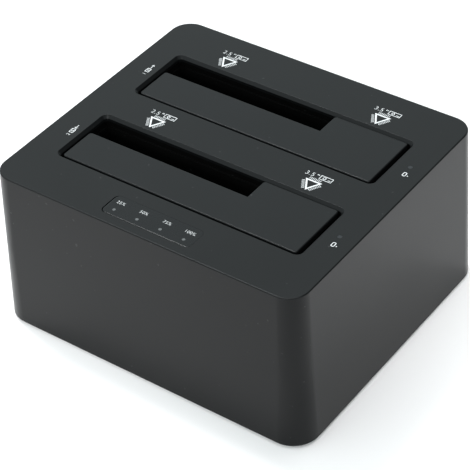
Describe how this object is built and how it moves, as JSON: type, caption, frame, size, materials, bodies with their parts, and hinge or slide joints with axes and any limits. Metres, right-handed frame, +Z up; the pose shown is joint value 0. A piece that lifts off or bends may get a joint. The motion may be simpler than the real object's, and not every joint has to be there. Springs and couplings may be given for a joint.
{
  "type": "hard drive docking station",
  "caption": "Drafted black desktop dock with drive bays in its top, each closed by a sprung L-shaped door; progress window in front and connectors at the back.",
  "frame": {"origin": "centre of the bounding box, at the underside of the feet", "axes": "+X along the bays, to the right as seen from the front; +Y to the back, where the connectors are; +Z up"},
  "size_m": [0.136, 0.121, 0.0675],
  "materials": {
    "housing_plastic": "fine textured satin black",
    "door_plastic": "fine textured satin black",
    "black_plastic": "plain moulded black",
    "rubber": "matt",
    "steel": "plain",
    "gold_contact": "gold plated",
    "circuit_board": "lacquered",
    "clear_plastic": "clear, frosted at the face",
    "lamp": "clear over a phosphor",
    "blue_plastic": "plain moulded blue",
    "chip": "moulded",
    "can": "plain",
    "cable": "flat cable sheath",
    "header_plastic": "plain moulded cream",
    "white_ink": "printed, matt"
  },
  "bodies": {
    "enclosure": {"upper_housing": "housing_plastic", "base_plate": "housing_plastic", "progress_window": "housing_plastic", "front_drive_guide": "black_plastic", "rear_drive_guide": "black_plastic", "front_drive_socket": "black_plastic", "rear_drive_socket": "black_plastic", "power_inlet": "black_plastic", "power_switch_frame": "black_plastic", "rubber_feet": "rubber", "housing_screws": "steel", "guide_screws": "steel", "front_hinge_pin": "steel", "rear_hinge_pin": "steel", "front_door_spring": "steel", "rear_door_spring": "steel", "progress_board_screws": "steel", "board_screws": "steel", "usb_shell": "steel", "power_inlet_pin": "steel", "power_switch_terminals": "steel", "copy_switch": "steel", "front_socket_contacts": "gold_contact", "rear_socket_contacts": "gold_contact", "usb_contacts": "gold_contact", "progress_board": "circuit_board", "main_board": "circuit_board", "progress_light_guides": "clear_plastic", "front_light_pipe": "clear_plastic", "rear_light_pipe": "clear_plastic", "progress_lamps": "lamp", "activity_lamps": "lamp", "usb_insert": "blue_plastic", "bridge_chip": "chip", "memory_chip": "chip", "inductors": "chip", "capacitors": "can", "ribbon_cable": "cable", "ribbon_headers": "header_plastic"},
    "front_door": {"front_bay_door": "door_plastic"},
    "rear_door": {"rear_bay_door": "door_plastic"},
    "power_rocker": {"power_rocker": "black_plastic"},
    "copy_button": {"copy_button": "black_plastic", "copy_switch_plunger": "black_plastic"}
  },
  "joints": [
    {"name": "front_door_hinge", "type": "hinge", "parent": "enclosure", "child": "front_door", "pos_m": [0, -0.04005, 0.0627], "axis": [-1, 0, 0], "range_deg": [0, 90], "stiffness_Nm_per_rad": 0.008, "springref_deg": -45.84, "deforming": ["front_door_spring"]},
    {"name": "rear_door_hinge", "type": "hinge", "parent": "enclosure", "child": "rear_door", "pos_m": [0, 0.00535, 0.0627], "axis": [-1, 0, 0], "range_deg": [0, 90], "stiffness_Nm_per_rad": 0.008, "springref_deg": -45.84, "deforming": ["rear_door_spring"]},
    {"name": "power_rocker_hinge", "type": "hinge", "parent": "enclosure", "child": "power_rocker", "pos_m": [0.036, 0.05685, 0.01605], "axis": [0, 0, 1], "range_deg": [-18, 0]},
    {"name": "copy_button_slide", "type": "slide", "parent": "enclosure", "child": "copy_button", "axis": [0, -1, 0], "range_m": [0, 0.0007], "stiffness_N_per_m": 1200, "springref_m": -0.0008}
  ]
}
